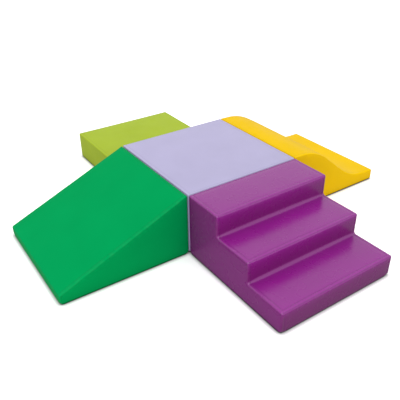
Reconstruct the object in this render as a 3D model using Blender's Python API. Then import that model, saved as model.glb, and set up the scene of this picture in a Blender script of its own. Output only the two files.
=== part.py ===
"""Soft play foam climber: a square platform with steps, a wave slide, a low block and a ramp around it.

Each of the five modules is a foam core in a sewn vinyl cover, closed underneath by a non-slip panel
with a zip. Hook-and-loop strips hold the four outer modules to the platform's sides.
Metres, +Z up, origin on the floor under the middle of the platform. The steps lie at +X, the wave
slide at +Y, the low block at -X and the ramp at -Y.

Each module is drawn in its own frame: X runs out from the mating face, Y across, Z up.
"""

import math

import bmesh
import bpy
from mathutils import Matrix, Vector

# Overall sizes of the modules
MODULE_WIDTH = 0.600
MODULE_HEIGHT = 0.300
RAMP_RUN = 0.600
STEPS_RUN = 0.600
WAVE_RUN = 0.600
BLOCK_RUN = 0.600
BLOCK_HEIGHT = 0.150

# Shapes of the ramp, the steps and the wave
RAMP_NOSE_HEIGHT = 0.048
STEP_COUNT = 3
WAVE_CREST_FLAT = 0.042
WAVE_LIP_FLAT = 0.056
WAVE_LIP_HEIGHT = 0.059
WAVE_STEEPNESS_SHARE = 1.54
WAVE_CREST_SHARE = 0.48
WAVE_ARC_STEPS = 7

# Rounding that the foam and the sewn cover give to the edges
EDGE_RADIUS = 0.005
INNER_CORNER_RADIUS = 0.016
SEAM_RADIUS = 0.0035
BASE_EDGE_RADIUS = 0.004
BASE_CORNER_RADIUS = 0.018
BASE_CORNER_REACH = 0.036
EDGE_STEPS = 3

# Crown of the panels that face up, where the foam pushes the cover out between its seams
CROWN_HEIGHT = 0.0020
CROWN_REACH = 0.040

# Cover, non-slip panel and the clearance between neighbours
COVER_THICKNESS = 0.0010
FIT_GAP = 0.0003
PANEL_STANDS_PROUD = 0.0004
HEM_WIDTH = 0.008

# Zip in the non-slip panel
ZIP_FROM_EDGE = 0.070
ZIP_END_MARGIN = 0.045
ZIP_SEWN_END = 0.010
TAPE_WIDTH = 0.014
TAPE_THICKNESS = 0.0005
CHAIN_WIDTH = 0.0024
CHAIN_HEIGHT = 0.0022
SLIDER_LENGTH = 0.014
SLIDER_PLATE = 0.0009
SLIDER_FLANGE = 0.0010
SLIDER_WEB = 0.0006
SLIDER_BEVEL = 0.0003
SLOT_CLEARANCE = 0.0007
GROOVE_CLEARANCE = 0.0010
CUT_OVERRUN = 0.002

# Hook-and-loop strips on the mating faces
STRIP_WIDTH = 0.050
STRIP_SPREAD = 0.360
STRIP_MARGIN = 0.035
STRIP_CORNER_RADIUS = 0.003
STRIP_CORNER_STEPS = 2
LOOP_THICKNESS = 0.0022
HOOK_THICKNESS = 0.0018

# Places that follow from the sizes above
HALF_WIDTH = MODULE_WIDTH / 2
MODULE_GAP = LOOP_THICKNESS + HOOK_THICKNESS + 3 * FIT_GAP
MATING_DISTANCE = HALF_WIDTH + MODULE_GAP
PANEL_THICKNESS = PANEL_STANDS_PROUD + COVER_THICKNESS
FOAM_DEPTH = COVER_THICKNESS + FIT_GAP
QUARTER_TURN = math.pi / 2

# Heights in the zip, measured from the floor
SLIDER_BOTTOM = FIT_GAP
CHAIN_BOTTOM = SLIDER_BOTTOM + SLIDER_PLATE + FIT_GAP
CHAIN_TOP = CHAIN_BOTTOM + CHAIN_HEIGHT
SLIDER_TOP = CHAIN_TOP + FIT_GAP + SLIDER_PLATE
TAPE_BOTTOM = PANEL_THICKNESS + FIT_GAP
TAPE_TOP = TAPE_BOTTOM + TAPE_THICKNESS

# Distances across the zip, measured from its middle
CHAIN_INNER = SLIDER_WEB / 2 + FIT_GAP
CHAIN_OUTER = CHAIN_INNER + CHAIN_WIDTH
TAPE_OUTER = CHAIN_OUTER + TAPE_WIDTH
SLIDER_INNER = CHAIN_OUTER + FIT_GAP
SLIDER_OUTER = SLIDER_INNER + SLIDER_FLANGE
SLOT_HALF_WIDTH = SLIDER_OUTER + SLOT_CLEARANCE

# Lengths along the zip
ZIP_LENGTH = MODULE_WIDTH - 2 * ZIP_END_MARGIN
SLOT_LENGTH = ZIP_LENGTH - 2 * ZIP_SEWN_END
SLIDER_AT_REST = -(SLOT_LENGTH - SLIDER_LENGTH) / 2 + SLOT_CLEARANCE

# Colours as they look in plain light, red, green and blue from 0 to 255
LAVENDER = (194, 187, 221)
GREEN = (1, 166, 94)
PURPLE = (152, 74, 150)
YELLOW = (252, 208, 24)
LIME = (178, 203, 73)
CHARCOAL = (42, 42, 46)
FOAM_GREY = (205, 205, 200)
ZIP_GREY = (96, 96, 100)
SLIDER_STEEL = (150, 150, 154)
STRIP_WHITE = (225, 224, 228)


def linear(channel):
    """A colour channel from 0 to 255 as Blender's linear value."""
    value = channel / 255
    return value / 12.92 if value <= 0.04045 else ((value + 0.055) / 1.055) ** 2.4


def make_material(name, colour, roughness, metallic=0.0):
    """A plain Principled material."""
    made = bpy.data.materials.new(name)
    made.use_nodes = True
    shader = made.node_tree.nodes["Principled BSDF"]
    shader.inputs["Base Color"].default_value = (*[linear(c) for c in colour], 1.0)
    shader.inputs["Roughness"].default_value = roughness
    shader.inputs["Metallic"].default_value = metallic
    return made


def add_object(name, bm, material, parent):
    """Turns a bmesh into a named object under its module's empty."""
    bmesh.ops.recalc_face_normals(bm, faces=bm.faces)
    mesh = bpy.data.meshes.new(name)
    bm.to_mesh(mesh)
    bm.free()
    made = bpy.data.objects.new(name, mesh)
    bpy.context.scene.collection.objects.link(made)
    made.parent = parent
    if material:
        mesh.materials.append(material)
    return made


def smooth(made):
    """Shades the round stretches smooth and keeps real edges sharp."""
    made.data.shade_smooth()
    made.data.set_sharp_from_angle(angle=math.radians(40))


def add_box(bm, low, high):
    """Adds a box to a bmesh, from its lowest to its highest corner."""
    low, high = Vector(low), Vector(high)
    place = Matrix.Translation((low + high) / 2) @ Matrix.Diagonal((*(high - low), 1))
    bmesh.ops.create_cube(bm, size=1, matrix=place)


def add_cutter(name, low, high, parent):
    """A hidden box that a Boolean takes away."""
    bm = bmesh.new()
    add_box(bm, low, high)
    cutter = add_object(name, bm, None, parent)
    cutter.hide_render = True
    cutter.display_type = "WIRE"
    return cutter


def subtract(made, cutter):
    """Cuts the hidden box out of an object."""
    cut = made.modifiers.new("cut", "BOOLEAN")
    cut.operation = "DIFFERENCE"
    cut.object = cutter


def extrude_outline(points, start, end):
    """A bmesh of an outline in X and Z, drawn out along Y."""
    bm = bmesh.new()
    face = bm.faces.new([bm.verts.new((x, start, z)) for x, z in points])
    drawn = bmesh.ops.extrude_face_region(bm, geom=[face])
    moved = [v for v in drawn["geom"] if isinstance(v, bmesh.types.BMVert)]
    bmesh.ops.translate(bm, verts=moved, vec=(0, end - start, 0))
    return bm


def crown_share(distance):
    """How much of its full crown a panel has at a distance from its nearest seam."""
    return 1 - math.exp(-distance / CROWN_REACH)


def rounded_outline(corners):
    """Rows of point, inward normal and crown share round a counterclockwise outline.

    The corners are (x, z, corner radius) rows. Only what faces up crowns, and a long straight stretch
    there gets three points between its corners for it.
    """
    outline = []
    seams = [Vector((x, z)) for x, z, radius in corners if radius]
    for i, (x, z, radius) in enumerate(corners):
        here = Vector((x, z))
        there = Vector(corners[(i + 1) % len(corners)][:2])
        before = (here - Vector(corners[i - 1][:2])).normalized()
        after = (there - here).normalized()
        inward_before = Vector((-before.y, before.x))
        inward_after = Vector((-after.y, after.x))
        turn = math.atan2(before.x * after.y - before.y * after.x, before.dot(after))
        if radius:
            side = math.copysign(1, turn)
            start = here - before * radius * math.tan(abs(turn) / 2)
            centre = start + inward_before * radius * side
            for step in range(EDGE_STEPS + 1):
                normal = inward_before.copy()
                normal.rotate(Matrix.Rotation(turn * step / EDGE_STEPS, 2))
                outline.append((centre - normal * radius * side, normal, 0))
        else:
            nearest = min((here - seam).length for seam in seams)
            outline.append((here, (inward_before + inward_after).normalized(), crown_share(nearest)))
        length = (there - here).length
        if after.x < 0 and length > 3 * CROWN_REACH:
            for place in (CROWN_REACH, length / 2, length - CROWN_REACH):
                nearest = min(place, length - place)
                outline.append((here + after * place, inward_after, crown_share(nearest)))
    return outline


def outline_at(corners, place):
    """The outline at a place in from the side panel: its bottom corners are rounder near the sides."""
    fade = max(0.0, 1 - place / BASE_CORNER_REACH) ** 2
    bottom = BASE_EDGE_RADIUS + (BASE_CORNER_RADIUS - BASE_EDGE_RADIUS) * fade
    return [(x, z, bottom if z == PANEL_STANDS_PROUD else radius) for x, z, radius in corners]


def lofted_block(corners, depth):
    """A block lofted across the module, its surface lying at a depth under the cover's outside.

    Returns the bmesh and the flat faces underneath, between the soft bottom edges.
    """
    rows = [(QUARTER_TURN * step / EDGE_STEPS, 0) for step in range(EDGE_STEPS + 1)]
    rows += [(QUARTER_TURN, BASE_CORNER_REACH / 2), (QUARTER_TURN, BASE_CORNER_REACH)]
    stations = [(-1, *row) for row in rows] + [(1, QUARTER_TURN, HALF_WIDTH)]
    stations += [(1, *row) for row in reversed(rows)]
    bm = bmesh.new()
    rings = []
    for side, angle, place in stations:
        edge = SEAM_RADIUS * (1 - math.cos(angle)) + depth * math.cos(angle)
        across = HALF_WIDTH - (place or edge)
        seam_inset = SEAM_RADIUS * (1 - math.sin(angle)) + depth * math.sin(angle)
        ring = []
        for point, normal, crown in rounded_outline(outline_at(corners, place)):
            inset = seam_inset - CROWN_HEIGHT * crown * crown_share(place)
            moved = point + normal * inset
            ring.append(bm.verts.new((moved.x, side * across, moved.y)))
        rings.append(ring)
    underside = []
    for number, (ring, following) in enumerate(zip(rings, rings[1:])):
        for i in range(len(ring)):
            j = (i + 1) % len(ring)
            face = bm.faces.new((ring[i], ring[j], following[j], following[i]))
            if i == EDGE_STEPS and EDGE_STEPS <= number < len(rings) - 1 - EDGE_STEPS:
                underside.append(face)
    bm.faces.new(rings[0])
    bm.faces.new(rings[-1])
    bmesh.ops.recalc_face_normals(bm, faces=bm.faces)
    return bm, underside


def add_cover(name, corners, material, parent):
    """The sewn cover: a thin shell, turned under at the floor and open where the panel goes."""
    bm, underside = lofted_block(corners, 0)
    bmesh.ops.inset_region(bm, faces=underside, thickness=HEM_WIDTH, use_even_offset=True)
    bmesh.ops.delete(bm, geom=underside, context="FACES")
    cover = add_object(name, bm, material, parent)
    smooth(cover)
    wall = cover.modifiers.new("wall", "SOLIDIFY")
    wall.thickness = COVER_THICKNESS
    wall.offset = -1
    wall.use_even_offset = True
    wall.use_quality_normals = True
    return cover


def add_foam_core(name, corners, zip_x, material, parent):
    """The foam core, with the shallow groove that the zip presses into it."""
    bm, _ = lofted_block(corners, FOAM_DEPTH)
    core = add_object(name, bm, material, parent)
    smooth(core)
    reach = TAPE_OUTER + GROOVE_CLEARANCE
    half_length = ZIP_LENGTH / 2 + GROOVE_CLEARANCE
    low = (zip_x - reach, -half_length, -CUT_OVERRUN)
    high = (zip_x + reach, half_length, SLIDER_TOP + GROOVE_CLEARANCE)
    subtract(core, add_cutter(name + "_groove_cutter", low, high, parent))
    return core


def add_base_panel(name, corners, zip_x, material, parent):
    """The non-slip panel inside the cover's hem, with the slot for the zip."""
    bm, underside = lofted_block(corners, 0)
    bmesh.ops.inset_region(bm, faces=underside, thickness=HEM_WIDTH + FIT_GAP, use_even_offset=True)
    outside = [face for face in bm.faces if face not in underside]
    bmesh.ops.delete(bm, geom=outside, context="FACES")
    for vert in bm.verts:
        vert.co.z = 0
    lower = bmesh.ops.dissolve_faces(bm, faces=underside)["region"]
    upper = bmesh.ops.extrude_face_region(bm, geom=lower)["geom"]
    moved = [v for v in upper if isinstance(v, bmesh.types.BMVert)]
    bmesh.ops.translate(bm, verts=moved, vec=(0, 0, PANEL_THICKNESS))
    panel = add_object(name, bm, material, parent)
    low = (zip_x - SLOT_HALF_WIDTH, -SLOT_LENGTH / 2, -CUT_OVERRUN)
    high = (zip_x + SLOT_HALF_WIDTH, SLOT_LENGTH / 2, PANEL_THICKNESS + CUT_OVERRUN)
    subtract(panel, add_cutter(name + "_slot_cutter", low, high, parent))
    return panel


def add_zip_stringer(name, side, zip_x, material, parent):
    """One half of the zip: its row of teeth with the tape that is sewn to the panel."""
    section = [
        (CHAIN_INNER, CHAIN_BOTTOM),
        (CHAIN_OUTER, CHAIN_BOTTOM),
        (CHAIN_OUTER, TAPE_BOTTOM),
        (TAPE_OUTER, TAPE_BOTTOM),
        (TAPE_OUTER, TAPE_TOP),
        (CHAIN_OUTER, TAPE_TOP),
        (CHAIN_OUTER, CHAIN_TOP),
        (CHAIN_INNER, CHAIN_TOP),
    ]
    points = [(zip_x + side * x, z) for x, z in section]
    bm = extrude_outline(points, -ZIP_LENGTH / 2, ZIP_LENGTH / 2)
    return add_object(name, bm, material, parent)


def add_zip_slider(name, zip_x, material, parent):
    """The slider: two plates round the teeth, joined by the web that runs between the two rows."""
    plate_top = SLIDER_BOTTOM + SLIDER_PLATE
    roof = SLIDER_TOP - SLIDER_PLATE
    lip = TAPE_TOP + FIT_GAP
    web = SLIDER_WEB / 2
    right = [
        (SLIDER_OUTER, SLIDER_BOTTOM),
        (SLIDER_OUTER, plate_top),
        (web, plate_top),
        (web, roof),
        (SLIDER_INNER, roof),
        (SLIDER_INNER, lip),
        (SLIDER_OUTER, lip),
        (SLIDER_OUTER, SLIDER_TOP),
    ]
    left = [(-x, z) for x, z in reversed(right)]
    bm = extrude_outline(right + left, -SLIDER_LENGTH / 2, SLIDER_LENGTH / 2)
    slider = add_object(name, bm, material, parent)
    slider.location = (zip_x, SLIDER_AT_REST, 0)
    bevel = slider.modifiers.new("softened edges", "BEVEL")
    bevel.width = SLIDER_BEVEL
    bevel.segments = 1
    bevel.limit_method = "ANGLE"
    return slider


def add_strip(name, face_x, thickness, side, height, material, parent):
    """An upright hook or loop strip on a mating face, left or right of its middle."""
    middle = side * STRIP_SPREAD / 2
    bm = bmesh.new()
    low = (face_x, middle - STRIP_WIDTH / 2, STRIP_MARGIN)
    high = (face_x + thickness, middle + STRIP_WIDTH / 2, height - STRIP_MARGIN)
    add_box(bm, low, high)
    corners = [e for e in bm.edges if abs((e.verts[1].co - e.verts[0].co).x) > FIT_GAP]
    bmesh.ops.bevel(
        bm,
        geom=corners,
        offset=STRIP_CORNER_RADIUS,
        segments=STRIP_CORNER_STEPS,
        profile=0.5,
        affect="EDGES",
    )
    return add_object(name, bm, material, parent)


def block_corners(start, end, height):
    """Outline of a plain block."""
    return [
        (start, PANEL_STANDS_PROUD, BASE_CORNER_RADIUS),
        (end, PANEL_STANDS_PROUD, BASE_CORNER_RADIUS),
        (end, height, EDGE_RADIUS),
        (start, height, EDGE_RADIUS),
    ]


def ramp_corners():
    """Outline of the ramp, from the platform's height down to its blunt nose."""
    return [
        (0, PANEL_STANDS_PROUD, BASE_CORNER_RADIUS),
        (RAMP_RUN, PANEL_STANDS_PROUD, BASE_CORNER_RADIUS),
        (RAMP_RUN, RAMP_NOSE_HEIGHT, EDGE_RADIUS),
        (0, MODULE_HEIGHT, EDGE_RADIUS),
    ]


def steps_corners():
    """Outline of the steps, equal in rise and in tread."""
    tread = STEPS_RUN / STEP_COUNT
    rise = MODULE_HEIGHT / STEP_COUNT
    corners = [
        (0, PANEL_STANDS_PROUD, BASE_CORNER_RADIUS),
        (STEPS_RUN, PANEL_STANDS_PROUD, BASE_CORNER_RADIUS),
    ]
    for step in range(STEP_COUNT):
        front = STEPS_RUN - step * tread
        top = (step + 1) * rise
        corners.append((front, top, EDGE_RADIUS))
        if step < STEP_COUNT - 1:
            corners.append((front - tread, top, INNER_CORNER_RADIUS))
    corners.append((0, MODULE_HEIGHT, EDGE_RADIUS))
    return corners


def wave_corners():
    """Outline of the wave: a round crest that runs over into a round trough.

    The steepness share is the steepest angle's share of the straight line's, from crest to lip, and
    the crest share is the crest radius's share of both radii together.
    """
    span = WAVE_RUN - WAVE_CREST_FLAT - WAVE_LIP_FLAT
    drop = MODULE_HEIGHT - WAVE_LIP_HEIGHT
    slope = math.atan2(drop, span) * WAVE_STEEPNESS_SHARE
    rise_of_arc = 1 - math.cos(slope)
    run_of_arc = math.sin(slope)
    both = (span * math.sin(slope) - drop * math.cos(slope)) / (
        run_of_arc * math.sin(slope) - rise_of_arc * math.cos(slope)
    )
    crest = both * WAVE_CREST_SHARE
    trough = both - crest
    corners = [
        (0, PANEL_STANDS_PROUD, BASE_CORNER_RADIUS),
        (WAVE_RUN, PANEL_STANDS_PROUD, BASE_CORNER_RADIUS),
        (WAVE_RUN, WAVE_LIP_HEIGHT, EDGE_RADIUS),
    ]
    angles = [slope * step / WAVE_ARC_STEPS for step in range(WAVE_ARC_STEPS + 1)]
    for angle in angles:
        x = WAVE_RUN - WAVE_LIP_FLAT - trough * math.sin(angle)
        z = WAVE_LIP_HEIGHT + trough * (1 - math.cos(angle))
        corners.append((x, z, 0))
    for angle in reversed(angles):
        x = WAVE_CREST_FLAT + crest * math.sin(angle)
        z = MODULE_HEIGHT - crest * (1 - math.cos(angle))
        corners.append((x, z, 0))
    corners.append((0, MODULE_HEIGHT, EDGE_RADIUS))
    return corners


def add_module(name, corners, cover_material, materials, turn, distance):
    """One module with its cover, foam, non-slip panel and zip, under an empty at its mating face."""
    frame = bpy.data.objects.new(name + "_frame", None)
    bpy.context.scene.collection.objects.link(frame)
    frame.rotation_euler.z = turn
    frame.location = Matrix.Rotation(turn, 3, "Z") @ Vector((distance, 0, 0))
    zip_x = min(x for x, _, _ in corners) + ZIP_FROM_EDGE
    add_cover(name + "_cover", corners, cover_material, frame)
    add_foam_core(name + "_foam_core", corners, zip_x, materials["foam"], frame)
    add_base_panel(name + "_base_panel", corners, zip_x, materials["base"], frame)
    add_zip_stringer(name + "_zip_stringer_inner", -1, zip_x, materials["zip"], frame)
    add_zip_stringer(name + "_zip_stringer_outer", 1, zip_x, materials["zip"], frame)
    add_zip_slider(name + "_zip_slider", zip_x, materials["slider"], frame)
    return frame


def add_outer_module(name, corners, height, colour, materials, turn):
    """An outer module, its hook strips and the loop strips that they meet on the platform."""
    cover = make_material(name + "_vinyl", colour, 0.42)
    frame = add_module(name, corners, cover, materials, turn, MATING_DISTANCE)
    hook_x = -FIT_GAP - HOOK_THICKNESS
    loop_x = hook_x - FIT_GAP - LOOP_THICKNESS
    strip = materials["strip"]
    for side, place in ((-1, "left"), (1, "right")):
        hook = name + "_hook_strip_" + place
        add_strip(hook, hook_x, HOOK_THICKNESS, side, height, strip, frame)
        loop = "platform_loop_strip_" + name + "_" + place
        add_strip(loop, loop_x, LOOP_THICKNESS, side, height, strip, frame)


def main():
    for old in list(bpy.data.objects):
        bpy.data.objects.remove(old)
    materials = {
        "foam": make_material("foam", FOAM_GREY, 0.95),
        "base": make_material("non_slip_fabric", CHARCOAL, 0.85),
        "zip": make_material("zip_tape", ZIP_GREY, 0.8),
        "slider": make_material("zip_slider_metal", SLIDER_STEEL, 0.35, 1.0),
        "strip": make_material("hook_and_loop", STRIP_WHITE, 0.95),
    }
    vinyl = make_material("platform_vinyl", LAVENDER, 0.5)
    platform = block_corners(-HALF_WIDTH, HALF_WIDTH, MODULE_HEIGHT)
    block = block_corners(0, BLOCK_RUN, BLOCK_HEIGHT)
    add_module("platform", platform, vinyl, materials, 0, 0)
    add_outer_module("steps", steps_corners(), MODULE_HEIGHT, PURPLE, materials, 0)
    add_outer_module("wave", wave_corners(), MODULE_HEIGHT, YELLOW, materials, QUARTER_TURN)
    add_outer_module("block", block, BLOCK_HEIGHT, LIME, materials, 2 * QUARTER_TURN)
    add_outer_module("ramp", ramp_corners(), MODULE_HEIGHT, GREEN, materials, -QUARTER_TURN)


main()
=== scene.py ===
"""Looks of the soft play foam climber: sewn vinyl covers, zips, hook-and-loop strips, light and camera.

Metres, +Z up. Each module is drawn in its own frame, with X running out from the mating face, Y across
and Z up, and is then turned to its side of the platform.
"""

import math
from collections import namedtuple

import bmesh
import bpy
from mathutils import Euler, Matrix, Vector, noise


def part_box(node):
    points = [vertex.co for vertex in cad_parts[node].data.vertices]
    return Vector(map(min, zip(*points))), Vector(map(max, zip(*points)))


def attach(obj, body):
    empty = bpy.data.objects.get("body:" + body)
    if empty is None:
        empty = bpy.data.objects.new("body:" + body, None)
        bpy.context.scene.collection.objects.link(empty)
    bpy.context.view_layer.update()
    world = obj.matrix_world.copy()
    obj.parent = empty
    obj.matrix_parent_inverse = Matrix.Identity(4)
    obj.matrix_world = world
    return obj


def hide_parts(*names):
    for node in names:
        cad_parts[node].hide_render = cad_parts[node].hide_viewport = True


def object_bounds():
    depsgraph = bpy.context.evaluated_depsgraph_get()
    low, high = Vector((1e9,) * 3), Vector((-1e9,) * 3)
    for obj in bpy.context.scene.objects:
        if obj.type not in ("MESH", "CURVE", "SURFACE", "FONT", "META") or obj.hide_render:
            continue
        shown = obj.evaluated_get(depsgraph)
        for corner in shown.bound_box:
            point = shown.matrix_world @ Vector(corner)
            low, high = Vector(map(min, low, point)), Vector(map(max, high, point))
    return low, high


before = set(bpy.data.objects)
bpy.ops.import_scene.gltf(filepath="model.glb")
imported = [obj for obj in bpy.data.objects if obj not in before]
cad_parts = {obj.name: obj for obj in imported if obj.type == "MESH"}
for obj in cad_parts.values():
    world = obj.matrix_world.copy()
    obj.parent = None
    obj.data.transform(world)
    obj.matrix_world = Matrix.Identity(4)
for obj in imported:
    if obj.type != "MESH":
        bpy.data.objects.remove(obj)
cad_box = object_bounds()

# Camera, matched to the photograph
CAMERA_PLACE = (1.883, -1.300, 1.403)
CAMERA_HEADING = 0.9811
CAMERA_TILT = -0.5422
CAMERA_ROLL = -0.0121
CAMERA_LENS_MM = 46.75
CAMERA_SENSOR_MM = 36.0

# Light
SKY_STRENGTH = 0.60
SUN_STRENGTH = 1.50
SUN_ANGLE = 1.2
SUN_PLACE = (0.50, -0.30, 1.0)

# Floor: how pale it is under the soft light, to the camera and in reflections, and the shadow on it
FLOOR_SIZE = 20.0
FLOOR_CELLS = 4
FLOOR_DROP = 0.0002
FLOOR_PALENESS = 0.75
FLOOR_SEEN_PALENESS = 1.45
FLOOR_MIRRORED_PALENESS = 0.4
CONTACT_SHADOW_REACH = 0.019
CONTACT_SHADOW_DEPTH = 1.3
LAYER_SHARE = 0.5

# Heights of the modules, and shapes of the ramp, the steps and the wave
MODULE_HEIGHT = 0.300
BLOCK_HEIGHT = 0.150
RAMP_NOSE_HEIGHT = 0.048
STEP_COUNT = 3
WAVE_CREST_FLAT = 0.042
WAVE_LIP_FLAT = 0.056
WAVE_LIP_HEIGHT = 0.059
WAVE_STEEPNESS_SHARE = 1.54
WAVE_CREST_SHARE = 0.48
WAVE_ARC_STEPS = 16

# Rounding of the edges, which for some of them changes with the distance from the side seams
EDGE_RADIUS = 0.005
FREE_EDGE_RADIUS = 0.008
FREE_EDGE_WIDENING = 0.004
LIP_RADIUS = 0.010
INNER_RADIUS = 0.011
INNER_WIDENING = 0.005
WIDENING_REACH = 0.080
BASE_EDGE_RADIUS = 0.004
BASE_CORNER_RADIUS = 0.018
BASE_CORNER_REACH = 0.036
BASE_CORNER_COUNT = 2
SEAM_RADIUS = 0.0035
SOFT_SEAM_RADIUS = 0.007
SOFT_SEAM_START = 0.030
ARC_STEPS = 6

# Vinyl over the foam: crown between the seams, welts and stitched grooves along them, slight unevenness
GRID = 0.020
SIDE_GRID = 0.012
CROWN_HEIGHT = 0.0020
CROWN_REACH = 0.040
END_CROWN_SHARE = 0.6
SIDE_CROWN_SHARE = 0.7
STITCH_LINE = 0.0142
FOLD_LINE = 0.0050
GROOVE_DEPTH = 0.0010
GROOVE_WIDTH = 0.0012
GROOVE_STEPS = (-0.0024, -0.0012, 0.0, 0.0012, 0.0024)
VALLEY_DEPTH = 0.0018
VALLEY_WIDTH = 0.0018
WELT_HEIGHT = 0.0005
CREASE_DEPTH = 0.0007
CREASE_RINGS = (0.0007, 0.0016)
PUCKER_HEIGHT = 0.0003
PUCKER_LENGTH = 0.011
PUCKER_REACH = 0.020
DIMPLE_DEPTH = 0.0030
DIMPLE_REACH = 0.007
DIMPLE_PLACE = 0.019
SWELL_HEIGHT = 0.0006
SWELL_LENGTH = 0.110
HEM_WIDTH = 0.008
COVER_THICKNESS = 0.0010

# Scuffs on the welts, a painted highlight near the free edges, painted light on the flats and sides, and
# painted shade beside the platform, at the floor, low on the steps' front and in the corners
WELT_FADE = 0.002
PAINTED_HIGHLIGHT_FADE = 0.022
END_PAINTED_HIGHLIGHT_FADE = 0.009
FLAT_PAINTED_LIGHT_SHARE = 0.72
SIDE_PAINTED_LIGHT_SHARE = 0.34
JOINT_SHADE_FADE = 0.15
LOW_SHADE_FADE = 0.018
LOW_FRONT_SHADE_FADE = 0.060
INNER_SHADE_FADE = 0.034
INNER_SHADE = 1.3
SHADE_SHARE = 0.24

# Vinyl's surface, with scales in cells to the metre and shades as shares of its own colour
VINYL_ROUGHNESS = 0.42
TONE_SCALE = 6.0
TONE_SHADE = 0.94
PATCH_SCALE = 45.0
PATCH_RANGE = (0.35, 0.75)
PATCH_SCUFF_RANGE = (0.0, 0.03)
SCUFF_COLOUR = (0.75, 0.75, 0.75, 1)
GROOVE_SHADE = 0.1
GROOVE_SHADE_SHARE = 0.6
# Painted shade line just above the floor: the cover darkens to a share of its colour below these heights
PAINTED_FLOOR_LINE_SHADE = 0.06
PAINTED_FLOOR_LINE_HEIGHTS = (0.0052, 0.0080)
SMUDGE_SCALE = 14.0
SMUDGE_ROUGHNESS = 0.04
UNEVEN_SCALE = 22.0
UNEVEN_BUMP = 0.0002
PEBBLE_SCALE = 620.0
PEBBLE_PATCH_SCALE = 180.0
PEBBLE_BUMP = 0.00002

# Stitches
STITCH_PITCH = 0.0060
STITCH_LENGTH = 0.0046
STITCH_WIDTH = 0.0011
STITCH_RISE = 0.0005
STITCH_SINK = 0.0004
STITCH_END_SHARE = 0.5
THREAD_SHADES = (0.64, 0.96)

# Foam core, under the cover and over the zip
FOAM_DEPTH = 0.0025
FOAM_EDGE_RADIUS = 0.010
FOAM_INNER_RADIUS = 0.004
FOAM_BASE = 0.0065
FOAM_GRID = 0.060
FOAM_COLOURS = ((0.66, 0.66, 0.62, 1), (0.42, 0.42, 0.39, 1))
FOAM_BUMP = 0.0004

# Non-slip panel
PANEL_THICKNESS = 0.00034
PANEL_OVERLAP = 0.003
SLOT_HALF_WIDTH = 0.0050
SLOT_SEWN_END = 0.010
PANEL_COLOURS = ((0.016, 0.016, 0.019, 1), (0.035, 0.035, 0.040, 1))
DOT_COLOUR = (0.008, 0.008, 0.009, 1)
DOT_RIM = (0.28, 0.22)
DOT_ROUGHNESS = (0.9, 0.55)
DOT_BUMP = 0.0003

# Zip tape, teeth and slider
TAPE_WIDTH = 0.014
TAPE_LIFT = 0.0002
ZIP_TAPE_THICKNESS = 0.0005
TAPE_EDGE = 0.0012
TAPE_EDGE_THICKNESS = 0.0003
TAPE_WAVINESS = 0.0001
TAPE_STEP = 0.010
TAPE_COLOURS = ((0.085, 0.085, 0.094, 1), (0.17, 0.17, 0.18, 1))
TOOTH_PITCH = 0.0026
TOOTH_LENGTH = 0.0016
TOOTH_SHIFT_SHARE = 0.25
TOOTH_HEAD_SHARE = 0.45
TOOTH_TAPER_SHARE = 0.3
TOOTH_COLOURS = ((0.10, 0.10, 0.11, 1), (0.16, 0.16, 0.17, 1))
TOOTH_ROUGHNESS = (0.32, 0.48)
SLIDER_COLOURS = ((0.25, 0.25, 0.27, 1), (0.40, 0.40, 0.42, 1))
SLIDER_ROUGHNESS = (0.28, 0.5)
SLIDER_BUMP = 0.00001
WEAVE_BUMP = 0.0001

# Hook-and-loop strips
STRIP_GRID = 0.004
STRIP_CORNER_RADIUS = 0.003
STRIP_BORDER = 0.0030
STRIP_BORDER_SLOPE = 0.0012
STRIP_TAPE_THICKNESS = 0.0007
STRIP_COLOURS = ((0.78, 0.77, 0.80, 1), (0.50, 0.49, 0.53, 1))
PILE_UNEVENNESS = 0.00025
HOOK_SCALE = 1100.0
HOOK_BUMP = 0.0004
LOOP_SCALE = 650.0
LOOP_BUMP = 0.0006

# Angles, limits and ranges that hold for all, and the (angle, place) rows round a side seam
QUARTER_TURN = math.pi / 2
SHARP_ANGLE = math.radians(35)
STITCHED_TURN = math.radians(70)
SEAM_ARC = [(QUARTER_TURN * step / ARC_STEPS, 0.0) for step in range(ARC_STEPS + 1)]
FACING_LIMIT = 0.3
SHORTEST = 1e-6
NOISE_RANGE = (0.3, 0.7)
FULL_RANGE = (0.0, 1.0)
BLACK = (0.0, 0.0, 0.0, 1)

# What a cover's vertices tell its material: worn welt, stitched groove, share of painted light, share of
# painted shade
MARKS = ("wear", "groove", "tread", "nook")

# One corner of an outline: its place, the directions before and after it, the angle between them, its
# radius, how far its rounding reaches, how far at the side and whether it is folded and stitched
Bend = namedtuple("Bend", "here before after turn radius lead side_lead folded")

# One sample of an outline: its place, the normal into the foam, the distance past a folded edge on the
# stitched side and from the middle of that edge, how much it crowns and whether it is the hem's inner edge
Row = namedtuple(
    "Row", "point inward from_fold from_middle crown under", defaults=(math.inf, math.inf, 0.0, False)
)

# One station across a module: its side, the angle round the side seam and the distance in from the side,
# or less than 0 where it lies on the side panel
Station = namedtuple("Station", "side angle place")

# One module: the outline of its top, its turn about Z, its slot in the record, its vinyl's colour and gloss,
# how much its seams stand out, how dark its painted shade line at the floor is, the tint of the painted
# shade on what doesn't face up, its height, its roughness, the radius of its side seams and how much
# painted shade darkens its sides beside the platform
Module = namedtuple(
    "Module",
    "name top turn slot colour gloss seams hem side_tint height roughness seam_radius joint_shade",
    defaults=(MODULE_HEIGHT, VINYL_ROUGHNESS, SOFT_SEAM_RADIUS, 0.0),
)


def srgb(red, green, blue):
    """Blender's linear colour from red, green and blue between 0 and 255."""
    shares = [channel / 255 for channel in (red, green, blue)]
    return [c / 12.92 if c <= 0.04045 else ((c + 0.055) / 1.055) ** 2.4 for c in shares]


def module_frame(name, turn):
    """The matrix from a module's own frame to the world, found from its cover's box."""
    low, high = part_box(name + "_cover")
    back = Matrix.Rotation(-turn, 4, "Z")
    start = min((back @ low).x, (back @ high).x)
    return Matrix.Rotation(turn, 4, "Z") @ Matrix.Translation((start, 0, 0))


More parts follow.
